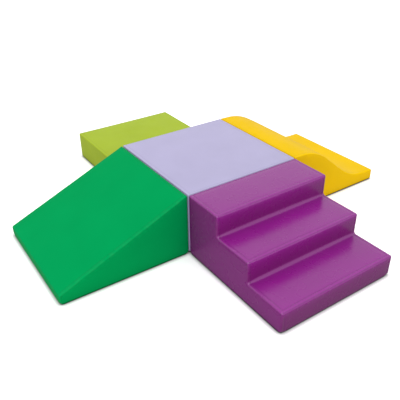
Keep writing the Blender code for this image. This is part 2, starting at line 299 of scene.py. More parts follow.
def local_box(node, matrix):
    """Lowest and highest corner of a CAD node in a module's frame."""
    corners = [matrix.inverted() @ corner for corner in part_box(node)]
    return [Vector(pick(c[i] for c in corners) for i in range(3)) for pick in (min, max)]


def outline_corners(module, run, base):
    """Outline of a module, as (x, z, corner radius) rows: its bottom, its top and the platform's side."""
    height = module.height
    return [(0, base, 0), (run, base, 0), *module.top(run, height), (0, height, EDGE_RADIUS)]


def platform_top(run, height):
    """The flat top of the platform."""
    return [(run, height, EDGE_RADIUS)]


def block_top(run, height):
    """The flat top of the block, with a softer edge."""
    return [(run, height, FREE_EDGE_RADIUS)]


def ramp_top(run, _):
    """The slope of the ramp, up from its blunt nose."""
    return [(run, RAMP_NOSE_HEIGHT, FREE_EDGE_RADIUS)]


def steps_top(run, height):
    """The treads of the steps, equal in rise and in depth."""
    tread, rise = run / STEP_COUNT, height / STEP_COUNT
    corners = []
    for step in range(STEP_COUNT):
        front, top = run - step * tread, (step + 1) * rise
        corners.append((front, top, FREE_EDGE_RADIUS))
        if step < STEP_COUNT - 1:
            corners.append((front - tread, top, INNER_RADIUS))
    return corners


def wave_top(run, height):
    """The slide of the wave: a round trough that runs up into a round crest."""
    span = run - WAVE_CREST_FLAT - WAVE_LIP_FLAT
    drop = height - WAVE_LIP_HEIGHT
    slope = math.atan2(drop, span) * WAVE_STEEPNESS_SHARE
    sine, cosine = math.sin(slope), math.cos(slope)
    both = (span * sine - drop * cosine) / (sine * sine - (1 - cosine) * cosine)
    crest = both * WAVE_CREST_SHARE
    trough = both - crest
    corners = [(run, WAVE_LIP_HEIGHT, LIP_RADIUS)]
    angles = [slope * step / WAVE_ARC_STEPS for step in range(WAVE_ARC_STEPS + 1)]
    for angle in angles:
        x = run - WAVE_LIP_FLAT - trough * math.sin(angle)
        corners.append((x, WAVE_LIP_HEIGHT + trough * (1 - math.cos(angle)), 0))
    for angle in reversed(angles):
        x = WAVE_CREST_FLAT + crest * math.sin(angle)
        corners.append((x, height - crest * (1 - math.cos(angle)), 0))
    return corners


def bottom_radius(place):
    """Radius of the corners at the floor, which get wider towards the sides."""
    share = max(0.0, 1 - place / BASE_CORNER_REACH) ** 2
    return BASE_EDGE_RADIUS + (BASE_CORNER_RADIUS - BASE_EDGE_RADIUS) * share


def corners_at(corners, place):
    """The outline at a place in from the side: its free and inner edges get wider away from it."""
    inside = 1 - math.exp(-place / WIDENING_REACH)
    widening = {INNER_RADIUS: INNER_WIDENING, FREE_EDGE_RADIUS: FREE_EDGE_WIDENING}
    changed = [(x, z, radius + widening.get(radius, 0) * inside) for x, z, radius in corners]
    bottom = [(x, z, bottom_radius(place)) for x, z, _ in changed[:BASE_CORNER_COUNT]]
    return bottom + changed[BASE_CORNER_COUNT:]


def near_share(distance, reach):
    """1 at a seam, falling towards 0 away from it."""
    return math.exp(-distance / reach)


def bell_share(distance, width):
    """1 in the middle of a groove or a dimple, falling to 0 on both sides of it."""
    return math.exp(-((distance / width) ** 2))


def facing_share(direction, end_free):
    """How much a stretch of the outline crowns: fully if it faces up, less if it faces out, else not."""
    if direction.x < -FACING_LIMIT:
        return 1.0
    return END_CROWN_SHARE if direction.y > FACING_LIMIT and end_free else 0.0


def crown_share(point, edges):
    """How much the cover crowns at a point of the outline: less near the start of a rounded corner."""
    distance = max(0.0, min((point - corner).length - lead for corner, lead in edges))
    return 1 - near_share(distance, CROWN_REACH)


def straight_places(length, side_length, folded_first, folded_last, grid):
    """Places of the samples on a straight stretch, closer together across a stitched groove.

    Their number follows the stretch's length at the side, so that it is the same at every station.
    """
    head = [FOLD_LINE + step for step in GROOVE_STEPS] if folded_first else []
    tail = [length - FOLD_LINE + step for step in GROOVE_STEPS] if folded_last else []
    first = head[-1] if head else 0
    last = tail[0] if tail else length
    count = max(1, math.ceil(side_length / grid))
    middle = [first + (last - first) * i / count for i in range(1, count)]
    return head + middle + tail


def outline_bends(corners, place):
    """The bends of an outline at a place in from the side."""
    at_side = corners_at(corners, 0)
    changed = corners_at(corners, place)
    bends = []
    for i, (x, z, radius) in enumerate(changed):
        here = Vector((x, z))
        before = (here - Vector(changed[i - 1][:2])).normalized()
        after = (Vector(changed[(i + 1) % len(changed)][:2]) - here).normalized()
        turn = math.atan2(before.x * after.y - before.y * after.x, before.dot(after))
        folded = radius > 0 and turn > STITCHED_TURN and i >= BASE_CORNER_COUNT
        lead, side_lead = [r * math.tan(abs(turn) / 2) for r in (radius, at_side[i][2])]
        bends.append(Bend(here, before, after, turn, radius, lead, side_lead, folded))
    return bends


def inward_of(direction):
    """The normal into the foam beside a direction along the outline."""
    return Vector((-direction.y, direction.x))


def corner_rows(bend, edges):
    """Rows of samples round one corner of an outline, or a single row where the corner isn't rounded."""
    if not bend.radius:
        inward = (inward_of(bend.before) + inward_of(bend.after)).normalized()
        return [Row(bend.here, inward, crown=crown_share(bend.here, edges))]
    side = math.copysign(1, bend.turn)
    start = inward_of(bend.before)
    centre = bend.here - bend.before * bend.lead + start * bend.radius * side
    rows = []
    for step in range(ARC_STEPS + 1):
        normal = start.copy()
        normal.rotate(Matrix.Rotation(bend.turn * step / ARC_STEPS, 2))
        past = (0.0, abs(step / ARC_STEPS - 0.5) * bend.turn * bend.radius) if bend.folded else ()
        rows.append(Row(centre - normal * bend.radius * side, normal, *past))
    return rows


def floor_rows(bend, following):
    """Rows of samples at the edge of the hem, under the module."""
    whole = (following.here - bend.here).length
    first, last = bend.lead + HEM_WIDTH, whole - following.lead - HEM_WIDTH
    return [Row(bend.here + bend.after * d, inward_of(bend.after), under=True) for d in (first, last)]


def panel_rows(bend, following, edges, end_free, grid):
    """Rows of samples on a straight stretch between two bends."""
    whole = (following.here - bend.here).length
    length = whole - bend.lead - following.lead
    side_length = whole - bend.side_lead - following.side_lead
    faces_up = bend.after.x < -FACING_LIMIT
    folded_first, folded_last = faces_up and bend.folded, faces_up and following.folded
    rows = []
    for distance in straight_places(length, side_length, folded_first, folded_last, grid):
        point = bend.here + bend.after * (bend.lead + distance)
        past = [distance] if folded_first else []
        past += [length - distance] if folded_last else []
        from_fold = STITCH_LINE + min(past) - FOLD_LINE if past else math.inf
        crown = crown_share(point, edges) * facing_share(bend.after, end_free)
        rows.append(Row(point, inward_of(bend.after), from_fold, crown=crown))
    return rows


def walk_outline(corners, place, end_free, grid):
    """Rows of samples round an outline at a place in from the side."""
    bends = outline_bends(corners, place)
    edges = [(bend.here, bend.lead) for bend in bends if bend.radius]
    rows = []
    for i, (bend, following) in enumerate(zip(bends, bends[1:] + bends[:1])):
        rows += corner_rows(bend, edges)
        if i == 0:
            rows += floor_rows(bend, following)
        else:
            rows += panel_rows(bend, following, edges, end_free, grid)
    return rows


def welt_share(past, fade):
    """1 on the welt beside a seam, falling to 0 past its stitched line."""
    return (1 - math.tanh(past / fade)) / 2


def seam_relief(distance):
    """Height of the cover beside a seam: a raised welt that ends in the groove of its stitching."""
    past = distance - STITCH_LINE
    return WELT_HEIGHT * welt_share(past, GROOVE_WIDTH) - GROOVE_DEPTH * bell_share(past, GROOVE_WIDTH)


def joined_relief(first, second):
    """Relief where two seams meet: the deeper groove, or else the higher welt."""
    return min(first, second) if min(first, second) < 0 else max(first, second)


def station_rows(width, grid):
    """Stations across a module, from one side panel to the other."""
    rows = [(0.0, -ring) for ring in reversed(CREASE_RINGS)]
    rows += SEAM_ARC
    rows += [(QUARTER_TURN, STITCH_LINE + step) for step in GROOVE_STEPS]
    first = rows[-1][1]
    count = math.ceil((width / 2 - first) / grid)
    rows += [(QUARTER_TURN, first + (width / 2 - first) * i / count) for i in range(1, count)]
    return both_sides(rows, width)


def both_sides(rows, width):
    """Stations on both sides of a module and in its middle, from (angle, place) rows for one side."""
    left = [Station(-1, *row) for row in rows]
    right = [Station(1, *row) for row in reversed(rows)]
    return left + [Station(1, QUARTER_TURN, width / 2)] + right


def inner_corners(corners):
    """The steps' inner corners, where the cover is drawn in beside its side seams and darkened by painted
    shade.
    """
    return [Vector((x, z)) for x, z, radius in corners if radius == INNER_RADIUS]


def free_edges(corners):
    """The outer free edges, such as the front edges of the treads, where a painted highlight lightens the
    cover.
    """
    return [Vector((x, z)) for x, z, radius in corners if radius not in (0, INNER_RADIUS) and x > 0]


def seam_radius_at(x, z, module):
    """Radius of a side seam, which is tight beside the platform and at the floor."""
    softness = max(0.0, min(1.0, x / SOFT_SEAM_START, z / SOFT_SEAM_START))
    return SEAM_RADIUS + (module.seam_radius - SEAM_RADIUS) * softness


def place_sample(row, station, width, travel, dents, module):
    """Where a sample of the outline lies at a station across the module, in the module's frame."""
    side, angle, place = station
    on_wrap, on_side = math.sin(angle), math.cos(angle)
    radius = seam_radius_at(*row.point, module)
    inset = 0.0 if place > 0 else radius * (1 - on_wrap) - place
    across = width / 2 - (place if place > 0 else radius * (1 - on_side))
    from_side = max(place, 0.0)
    relief = seam_relief(from_side)
    sideways = on_side * relief * module.seams
    if place < 0:
        sideways = -CREASE_DEPTH if place == -CREASE_RINGS[0] else 0.0
    if row.from_fold < math.inf:
        relief = joined_relief(relief, seam_relief(row.from_fold))
    relief -= VALLEY_DEPTH * bell_share(row.from_middle, VALLEY_WIDTH)
    outward = on_wrap * relief * module.seams
    share = row.crown * (1 - near_share(from_side, CROWN_REACH))
    uneven = noise.noise(Vector((row.point.x, row.point.y + side, place)) / SWELL_LENGTH)
    pucker = noise.noise(Vector((travel / PUCKER_LENGTH, side * width / SWELL_LENGTH, 0)))
    outward += share * (CROWN_HEIGHT + SWELL_HEIGHT * uneven)
    outward += PUCKER_HEIGHT * pucker * near_share(from_side, PUCKER_REACH) * on_wrap
    for dent in dents:
        away = math.hypot((row.point - dent).length, from_side - DIMPLE_PLACE)
        outward -= DIMPLE_DEPTH * bell_share(away, DIMPLE_REACH) * on_wrap
    outward *= 1 - max(0.0, row.inward.y)
    moved = row.point + row.inward * (inset - outward)
    return Vector((moved.x, side * (across + sideways), moved.y))


def distance_to_outline(point, outline):
    """Distance of a point from a closed outline of points in a plane."""
    nearest = math.inf
    for start, end in zip(outline, outline[1:] + outline[:1]):
        along = end - start
        share = max(0.0, min(1.0, (point - start).dot(along) / max(along.length_squared, SHORTEST**2)))
        nearest = min(nearest, (point - start - along * share).length)
    return nearest


def cut_into_grid(bm, face, run, height):
    """Cuts a flat side panel into a grid that can swell, and returns its faces."""
    faces = {face}
    for length, direction in ((run, Vector((1, 0, 0))), (height, Vector((0, 0, 1)))):
        count = math.ceil(length / SIDE_GRID)
        for i in range(1, count):
            geometry = list(faces)
            geometry += list({e for f in faces for e in f.edges} | {v for f in faces for v in f.verts})
            cut = bmesh.ops.bisect_plane(
                bm, geom=geometry, plane_co=direction * (length * i / count), plane_no=direction
            )
            faces = {g for g in cut["geom"] if isinstance(g, bmesh.types.BMFace)}
    return faces


def swell_side(faces, ring, side, crown, nook, module):
    """Swells a side panel between its seams, and marks where painted shade darkens it."""
    outline = [Vector((v.co.x, v.co.z)) for v in ring]
    for vert in {v for f in faces for v in f.verts} - set(ring):
        distance = distance_to_outline(Vector((vert.co.x, vert.co.z)), outline)
        uneven = noise.noise(vert.co / SWELL_LENGTH)
        rise = crown * (1 - near_share(distance, CROWN_REACH))
        vert.co.y += side * rise * (CROWN_HEIGHT + SWELL_HEIGHT * uneven)
        vert[nook] = side_shade(vert.co.x, vert.co.z, module)


def nearness(point, places, fade):
    """1 at the nearest of some places, falling to 0 away from them."""
    return max((near_share((point - place).length, fade) for place in places), default=0.0)


def side_shade(x, z, module):
    """How much painted shade darkens a side panel: most beside the platform and at the floor."""
    joint = module.joint_shade * near_share(max(0.0, x), JOINT_SHADE_FADE)
    low = near_share(max(0.0, z), LOW_SHADE_FADE)
    return 1 - (1 - joint) * (1 - low)


def marks_at(row, station, dents, edges, run, module):
    """The values of a cover's MARKS at a sample."""
    on_wrap = math.sin(station.angle)
    from_seam = min(row.from_fold, station.place) if station.place >= 0 else math.inf
    past = from_seam - STITCH_LINE
    sunk = max(bell_share(past, GROOVE_WIDTH), on_wrap * bell_share(row.from_middle, VALLEY_WIDTH))
    facing_up = max(0.0, -row.inward.y)
    facing_out = max(0.0, -row.inward.x) if row.point.x > run - FREE_EDGE_RADIUS else 0.0
    # Painted light: the share of the lit colour, high on flats facing up and full near free edges as a
    # painted highlight
    fade = PAINTED_HIGHLIGHT_FADE + (END_PAINTED_HIGHLIGHT_FADE - PAINTED_HIGHLIGHT_FADE) * facing_out
    shaded_copy_share = (1 - FLAT_PAINTED_LIGHT_SHARE * facing_up) * (1 - nearness(row.point, edges, fade))
    scuffs_and_painted_light = on_wrap * (1 - shaded_copy_share) + (1 - on_wrap) * SIDE_PAINTED_LIGHT_SHARE
    # Painted shade, low on the steps' front and in their inner corners, and on the side panels
    low_front_shade = near_share(max(0.0, row.point.y), LOW_FRONT_SHADE_FADE) if dents else 0.0
    inner = INNER_SHADE * facing_up**2 * nearness(row.point, dents, INNER_SHADE_FADE)
    wrap_shade = inner + (1 - facing_up) * low_front_shade
    shade = on_wrap * wrap_shade + (1 - on_wrap) * side_shade(*row.point, module)
    return module.seams * welt_share(past, WELT_FADE), module.seams * sunk, scuffs_and_painted_light, shade


def sewn_cover(corners, size, end_free, module):
    """The cover's outside as a bmesh, with the points of its stitched lines.

    Its wrap panel goes over the top and both ends, its side panels close it, and all of them are turned
    under at the floor to a narrow hem.
    """
    run, width, height = size
    stations = station_rows(width, GRID)
    dents, edges = inner_corners(corners), free_edges(corners)
    bm = bmesh.new()
    layers = [bm.verts.layers.float.new(name) for name in MARKS]
    rings, walks = [], []
    for station in stations:
        rows = walk_outline(corners, max(station.place, 0.0), end_free, GRID)
        ring, travel, last = [], 0.0, rows[0].point
        for row in rows:
            travel += (row.point - last).length
            last = row.point
            vert = bm.verts.new(place_sample(row, station, width, travel, dents, module))
            for layer, value in zip(layers, marks_at(row, station, dents, edges, run, module)):
                vert[layer] = value
            ring.append(vert)
        rings.append(ring)
        walks.append(rows)
    hem_place = STITCH_LINE + GROOVE_STEPS[-1]
    for k in range(len(rings) - 1):
        inner = min(stations[k].place, stations[k + 1].place) >= hem_place
        for i in range(len(rings[k])):
            j = (i + 1) % len(rings[k])
            if not (inner and walks[k][i].under and walks[k][j].under):
                bm.faces.new((rings[k][i], rings[k][j], rings[k + 1][j], rings[k + 1][i]))
    paths = stitch_paths(rings, walks, stations)
    for ring, side in ((rings[0], -1), (rings[-1], 1)):
        faces = cut_into_grid(bm, bm.faces.new(ring), run, height)
        swell_side(faces, ring, side, SIDE_CROWN_SHARE if end_free else 0.0, layers[-1], module)
    return finished(bm), paths


def stitch_paths(rings, walks, stations):
    """Stitched lines as lists of (point, outward normal): along both side seams and each folded edge."""
    paths = []
    for ring, rows, station in zip(rings, walks, stations):
        if station.place == STITCH_LINE:
            first = next(i for i, row in enumerate(rows) if row.under) + 2
            inside = [(v.co.copy(), row.inward) for v, row in zip(ring[first:], rows[first:])]
            paths.append([(point, Vector((-n.x, 0, -n.y))) for point, n in inside])
    middle = [k for k, station in enumerate(stations) if station.place >= STITCH_LINE]
    for i, row in enumerate(walks[middle[0]]):
        if abs(row.from_fold - STITCH_LINE) < GROOVE_WIDTH / 2:
            outward = Vector((-row.inward.x, 0, -row.inward.y))
            paths.append([(rings[k][i].co.copy(), outward) for k in middle])
    return paths


def along_path(path, lengths, distance):
    """Point and normal at a distance along a path."""
    i = 0
    while i < len(lengths) - 2 and lengths[i + 1] < distance:
        i += 1
    share = (distance - lengths[i]) / (lengths[i + 1] - lengths[i])
    return path[i][0].lerp(path[i + 1][0], share), path[i][1].lerp(path[i + 1][1], share).normalized()


def finished(bm):
    """A bmesh without its loose vertices and with all its faces turned outward."""
    bmesh.ops.delete(bm, geom=[v for v in bm.verts if not v.link_faces], context="VERTS")
    bmesh.ops.recalc_face_normals(bm, faces=bm.faces)
    return bm


def skin_rings(bm, rings):
    """Makes a solid of rings of vertices: faces between neighbouring rings, and one at each end."""
    for ring, following in zip(rings, rings[1:]):
        for i in range(len(ring)):
            j = (i + 1) % len(ring)
            bm.faces.new((ring[i], ring[j], following[j], following[i]))
    bm.faces.new(rings[0])
    bm.faces.new(rings[-1])


def add_stitch(bm, start, end, normal):
    """One stitch: a thread that comes up out of the vinyl and goes down again."""
    across = (end - start).cross(normal).normalized() * (STITCH_WIDTH / 2)
    sides = (across, normal * STITCH_RISE, -across, -normal * STITCH_RISE)
    sink = normal * STITCH_SINK
    top = (start + end) / 2 + normal * STITCH_RISE
    places = ((start - sink, STITCH_END_SHARE), (top, 1.0), (end - sink, STITCH_END_SHARE))
    skin_rings(bm, [[bm.verts.new(centre + side * share) for side in sides] for centre, share in places])


def stitching(paths):
    """All stitches along the given paths, as a bmesh."""
    bm = bmesh.new()
    for path in paths:
        lengths = [0.0]
        for (point, _), (following, _) in zip(path, path[1:]):
            lengths.append(lengths[-1] + max((following - point).length, SHORTEST))
        count = int(lengths[-1] / STITCH_PITCH)
        for i in range(count):
            middle = (i + 0.5) * lengths[-1] / count
            start, _ = along_path(path, lengths, middle - STITCH_LENGTH / 2)
            end, _ = along_path(path, lengths, middle + STITCH_LENGTH / 2)
            _, normal = along_path(path, lengths, middle)
            add_stitch(bm, start, end, normal)
    return finished(bm)


def foam_core(corners, width):
    """The foam core as a bmesh: the cover's shape, a little further in and clear of the zip."""
    changed_radius = {EDGE_RADIUS: FOAM_EDGE_RADIUS, INNER_RADIUS: FOAM_INNER_RADIUS}
    raised = [(x, max(z, FOAM_BASE), changed_radius.get(radius, radius)) for x, z, radius in corners]
    flat = [(QUARTER_TURN, BASE_CORNER_REACH), (QUARTER_TURN, BASE_CORNER_REACH + FOAM_GRID)]
    bm, rings = bmesh.new(), []
    for side, angle, place in both_sides(SEAM_ARC + flat, width):
        rows = walk_outline(raised, place, False, FOAM_GRID)
        across = width / 2 - max(place, SEAM_RADIUS * (1 - math.cos(angle)) + FOAM_DEPTH)
        inset = SEAM_RADIUS * (1 - math.sin(angle)) + FOAM_DEPTH
        ring = [row.point + row.inward * inset for row in rows]
        rings.append([bm.verts.new((p.x, side * across, p.y)) for p in ring])
    skin_rings(bm, rings)
    return finished(bm)


def base_panel(size, zip_x, zip_length):
    """The non-slip panel as a bmesh: it lies under the hem's edge and leaves a slot for the zip."""
    run, width, _ = size
    edge = STITCH_LINE + GROOVE_STEPS[-1] - PANEL_OVERLAP
    places = [edge + (BASE_CORNER_REACH - edge) * i / ARC_STEPS for i in range(ARC_STEPS + 1)]
    slot_end = zip_length / 2 - SLOT_SEWN_END
    bm = bmesh.new()
    lines = []
    for y in [width / 2 - place for place in places] + [slot_end, 0.0]:
        inset = bottom_radius(width / 2 - y) + HEM_WIDTH - PANEL_OVERLAP
        xs = (inset, zip_x - SLOT_HALF_WIDTH, zip_x + SLOT_HALF_WIDTH, run - inset)
        lines.append((y, xs))
    lines += [(-y, xs) for y, xs in reversed(lines[:-1])]
    rings = [[bm.verts.new((x, y, 0)) for x in xs] for y, xs in lines]
    for k, (ring, following) in enumerate(zip(rings, rings[1:])):
        in_slot = abs(lines[k][0] + lines[k + 1][0]) / 2 < slot_end
        for i in range(len(ring) - 1):
            if not (in_slot and i == 1):
                bm.faces.new((ring[i], ring[i + 1], following[i + 1], following[i]))
    raised = bmesh.ops.extrude_face_region(bm, geom=list(bm.faces), use_keep_orig=True)["geom"]
    lifted = [v for v in raised if isinstance(v, bmesh.types.BMVert)]
    bmesh.ops.translate(bm, verts=lifted, vec=(0, 0, PANEL_THICKNESS))
    return finished(bm)


def zip_tape(low, high, side):
    """One half of the zip's woven tape as a bmesh, thinner at its sewn edge and slightly wavy.

    The corners are the CAD stringer's, and the side says where the tape lies from the teeth.
    """
    near, far = (high.x - TAPE_WIDTH, high.x) if side > 0 else (low.x + TAPE_WIDTH, low.x)
    bottom, top = low.z + TAPE_LIFT, low.z + TAPE_LIFT + ZIP_TAPE_THICKNESS
    edge = far - side * TAPE_EDGE
    section = [(near, bottom), (edge, bottom), (far, bottom + TAPE_EDGE_THICKNESS / 2)]
    section += [(far, top - TAPE_EDGE_THICKNESS / 2), (edge, top), (near, top)]
    count = math.ceil((high.y - low.y) / TAPE_STEP)
    bm = bmesh.new()
    rings = []
    for i in range(count + 1):
        y = low.y + (high.y - low.y) * i / count
        wave = TAPE_WAVINESS * noise.noise(Vector((far, y, 0)) / TAPE_STEP)
        rings.append([bm.verts.new((x + (wave if x == far else 0), y, z)) for x, z in section])
    skin_rings(bm, rings)
    return finished(bm)


def zip_teeth(low, high, side):
    """One row of moulded zip teeth as a bmesh, each with a rounded head towards the zip's middle."""
    head, root = (low.x, high.x - TAPE_WIDTH) if side > 0 else (high.x, low.x + TAPE_WIDTH)
    neck = head + (root - head) * TOOTH_HEAD_SHARE
    middle = (low.z + high.z) / 2
    bm = bmesh.new()
    for i in range(int((high.y - low.y) / TOOTH_PITCH) - 1):
        y = low.y + (i + 1 + side * TOOTH_SHIFT_SHARE) * TOOTH_PITCH
        sections = []
        for x, share in ((head, TOOTH_TAPER_SHARE), (neck, 1.0), (root, 1.0 - TOOTH_TAPER_SHARE)):
            reach, rise = TOOTH_LENGTH / 2 * share, (high.z - middle) * (1 + share) / 2
            corners = ((-reach, -rise), (reach, -rise), (reach, rise), (-reach, rise))
            sections.append([bm.verts.new((x, y + across, middle + up)) for across, up in corners])
        skin_rings(bm, sections)
    return finished(bm)


def strip_pad(low, high, pile_side):
    """A hook or loop strip as a bmesh: a flat sewn border round a raised, uneven pile."""
    width, height = high.y - low.y, high.z - low.z
    back_x = low.x if pile_side > 0 else high.x
    pile_rise = high.x - low.x - STRIP_TAPE_THICKNESS - PILE_UNEVENNESS
    bm = bmesh.new()
    columns, lines = math.ceil(width / STRIP_GRID), math.ceil(height / STRIP_GRID)
    grid = []
    for i in range(columns + 1):
        line = []
        for k in range(lines + 1):
            y, z = rounded_place(width * i / columns, height * k / lines, width, height)
            inside = min(y, width - y, z, height - z)
            share = max(0.0, min(1.0, (inside - STRIP_BORDER) / STRIP_BORDER_SLOPE))
            uneven = noise.noise(Vector((y, z, low.x + low.y)) / STRIP_GRID) * PILE_UNEVENNESS
            rise = STRIP_TAPE_THICKNESS + share * (pile_rise + uneven)
            line.append(bm.verts.new((back_x + pile_side * rise, low.y + y, low.z + z)))
        grid.append(line)
    for near, far in zip(grid, grid[1:]):
        for k in range(lines):
            bm.faces.new((near[k], near[k + 1], far[k + 1], far[k]))
    rim = [e for e in bm.edges if e.is_boundary]
    back = bmesh.ops.extrude_edge_only(bm, edges=rim)["geom"]
    for vert in back:
        if isinstance(vert, bmesh.types.BMVert):
            vert.co.x = back_x
    bmesh.ops.holes_fill(bm, edges=[e for e in bm.edges if e.is_boundary])
    return finished(bm)


def rounded_place(y, z, width, height):
    """Moves a place near a rectangle's corner in, so that its outline has round corners."""
    limits = (width - STRIP_CORNER_RADIUS, height - STRIP_CORNER_RADIUS)
    centre = Vector([min(max(at, STRIP_CORNER_RADIUS), limit) for at, limit in zip((y, z), limits)])
    out = Vector((y, z)) - centre
    if out.x and out.y and out.length > STRIP_CORNER_RADIUS:
        return tuple(centre + out.normalized() * STRIP_CORNER_RADIUS)
    return y, z


def add_object(name, data):
    """Adds an object to the scene."""
    made = bpy.data.objects.new(name, data)
    bpy.context.scene.collection.objects.link(made)
    return made


def add_mesh(name, bm, matrix, material):
    """Adds a bmesh to the scene."""
    mesh = bpy.data.meshes.new(name)
    bm.to_mesh(mesh)
    bm.free()
    mesh.transform(matrix)
    mesh.materials.append(material)
    return add_object(name, mesh)


def add_piece(name, bm, matrix, material, body):
    """Adds a bmesh as a piece of the object that rides on a body."""
    piece = add_mesh(name, bm, matrix, material)
    piece.data.shade_smooth()
    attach(piece, body)
    return piece


def shaded(colour, share):
    """A colour made darker, as red, green, blue and alpha."""
    return (*[c * share for c in colour], 1.0)


class Nodes:
    """The node tree of a material or a world, with a short way to add each kind of node."""

    def __init__(self, owner):
        owner.use_nodes = True
        self.owner = owner
        self.tree = owner.node_tree

    def fill(self, socket, value):
        """Gives an input a value, or links the output of another node to it."""
        if isinstance(value, bpy.types.NodeSocket):
            self.tree.links.new(value, socket)
        else:
            socket.default_value = value

    def add(self, kind, inputs=(), **settings):
        """Adds a node with its settings and its inputs, which are values or outputs of other nodes."""
        made = self.tree.nodes.new(kind)
        for name, value in settings.items():
            setattr(made, name, value)
        for name, value in dict(inputs).items():
            self.fill(made.inputs[name], value)
        return made

    def combine(self, operation, first, second):
        """Two values combined by a mathematical operation."""
        made = self.add("ShaderNodeMath", operation=operation)
        self.fill(made.inputs[0], first)
        self.fill(made.inputs[1], second)
        return made.outputs[0]

    def remap(self, value, old, new):
        """A value brought from one range to another, and kept inside it."""
        inputs = {"Value": value, "From Min": old[0], "From Max": old[1], "To Min": new[0], "To Max": new[1]}
        return self.add("ShaderNodeMapRange", inputs).outputs["Result"]

    def mix(self, factor, first, second):
        """A colour between two others."""
        made = self.add("ShaderNodeMix", data_type="RGBA")
        sockets = [socket for socket in made.inputs if socket.enabled]
        for socket, value in zip(sockets, (factor, first, second)):
            self.fill(socket, value)
        return next(socket for socket in made.outputs if socket.enabled)

    def ray_kinds(self):
        """The kinds of a ray, and 1 for one that reflects or passes through a surface, else 0."""
        ray = self.add("ShaderNodeLightPath").outputs
        return ray, self.combine("MAXIMUM", ray["Is Glossy Ray"], ray["Is Transmission Ray"])


class Surface(Nodes):
    """The nodes of a material of the object, with textures that lie over it."""

    def __init__(self, name, roughness, specular, metallic=0.0):
        super().__init__(bpy.data.materials.new(name))
        self.shader = self.tree.nodes["Principled BSDF"].inputs
        values = {"Roughness": roughness, "Specular IOR Level": specular, "Metallic": metallic}
        for socket, value in values.items():
            self.fill(self.shader[socket], value)
        self.place = self.add("ShaderNodeTexCoord").outputs["Object"]

    def noise(self, scale, detail=2.0):
        """A noise around 0.5."""
        inputs = {"Vector": self.place, "Scale": scale, "Detail": detail}
        return self.add("ShaderNodeTexNoise", inputs).outputs["Fac"]

    def waves(self, scale, distortion, **settings):
        """Wavy bands between 0 and 1."""
        inputs = {"Vector": self.place, "Scale": scale, "Distortion": distortion}
        return self.add("ShaderNodeTexWave", inputs, **settings).outputs["Fac"]

    def cells(self, scale, randomness=1.0):
        """Distance to the centre of the nearest of many cells."""
        inputs = {"Vector": self.place, "Scale": scale, "Randomness": randomness}
        return self.add("ShaderNodeTexVoronoi", inputs, feature="F1").outputs["Distance"]

    def mark(self, name):
        """One of the cover's MARKS."""
        return self.add("ShaderNodeAttribute", attribute_name=name).outputs["Fac"]

    def bump(self, height, distance, below=None):
        """Raises a surface by a height between 0 and 1 times a distance in metres, over other bumps."""
        made = self.add("ShaderNodeBump", {"Height": height, "Distance": distance})
        if below:
            self.fill(made.inputs["Normal"], below)
        return made.outputs["Normal"]

    def dress(self, colour, normal=None, roughness=None):
        """Links the colour, and the bumps and the roughness where there are any, to the shader."""
        for name, value in (("Base Color", colour), ("Normal", normal), ("Roughness", roughness)):
            if value:
                self.fill(self.shader[name], value)
        return self.owner


def vinyl(module):
    """Vinyl with a fine pebbled grain, slow changes of tone, scuffed edges, painted light and shade, and a
    painted shade line at the floor.
    """
    colour, roughness = module.colour, module.roughness
    shaded_side_colour = [channel * share for channel, share in zip(colour, module.side_tint)]
    nodes = Surface(module.slot, roughness, module.gloss)
    wear, groove, tread, nook = (nodes.mark(name) for name in MARKS)
    tone = nodes.remap(nodes.noise(TONE_SCALE, detail=3.0), NOISE_RANGE, FULL_RANGE)
    # Painted light and shade: a lit copy of the colour for what faces up and a darker shaded copy for sides
    # and risers
    lit_colour = nodes.mix(tone, shaded(colour, TONE_SHADE), shaded(colour, 1.0))
    side = nodes.mix(tone, shaded(shaded_side_colour, TONE_SHADE), shaded(shaded_side_colour, 1.0))
    # Painted shade, darkening towards black in the inner corners, beside the platform and at the floor
    dim = nodes.mix(nodes.combine("MULTIPLY", nook, SHADE_SHARE), nodes.mix(tread, side, lit_colour), BLACK)
    patches = nodes.remap(nodes.noise(PATCH_SCALE, detail=4.0), PATCH_RANGE, PATCH_SCUFF_RANGE)
    # Scuffs on the welts, paler in patches
    scuffs_and_painted_light = nodes.combine("MULTIPLY", wear, patches)
    in_groove = nodes.combine("MULTIPLY", groove, GROOVE_SHADE_SHARE)
    sewn = nodes.mix(in_groove, nodes.mix(scuffs_and_painted_light, dim, SCUFF_COLOUR), shaded(colour, GROOVE_SHADE))
    height = nodes.add("ShaderNodeSeparateXYZ", {"Vector": nodes.place}).outputs["Z"]
    # Painted shade line just above the floor
    low = nodes.remap(height, PAINTED_FLOOR_LINE_HEIGHTS, (module.hem, 0.0))
    around = (roughness - SMUDGE_ROUGHNESS, roughness + SMUDGE_ROUGHNESS)
    smudge = nodes.remap(nodes.noise(SMUDGE_SCALE, detail=3.0), NOISE_RANGE, around)
    pebbles = nodes.combine("MULTIPLY", nodes.cells(PEBBLE_SCALE), nodes.noise(PEBBLE_PATCH_SCALE))
    grain = nodes.bump(pebbles, PEBBLE_BUMP, nodes.bump(nodes.noise(UNEVEN_SCALE), UNEVEN_BUMP))
    final = nodes.mix(low, sewn, shaded(colour, PAINTED_FLOOR_LINE_SHADE))
    return nodes.dress(final, grain, nodes.combine("ADD", smudge, scuffs_and_painted_light))


def thread(name, colour):
    """Sewing thread: twisted strands, nearly of the vinyl's colour."""
    nodes = Surface(name, roughness=0.5, specular=0.3)
    twist = nodes.waves(scale=900.0, distortion=2.0)
    tint = nodes.mix(twist, *[shaded(colour, shade) for shade in THREAD_SHADES])
    return nodes.dress(tint, nodes.bump(twist, WEAVE_BUMP))


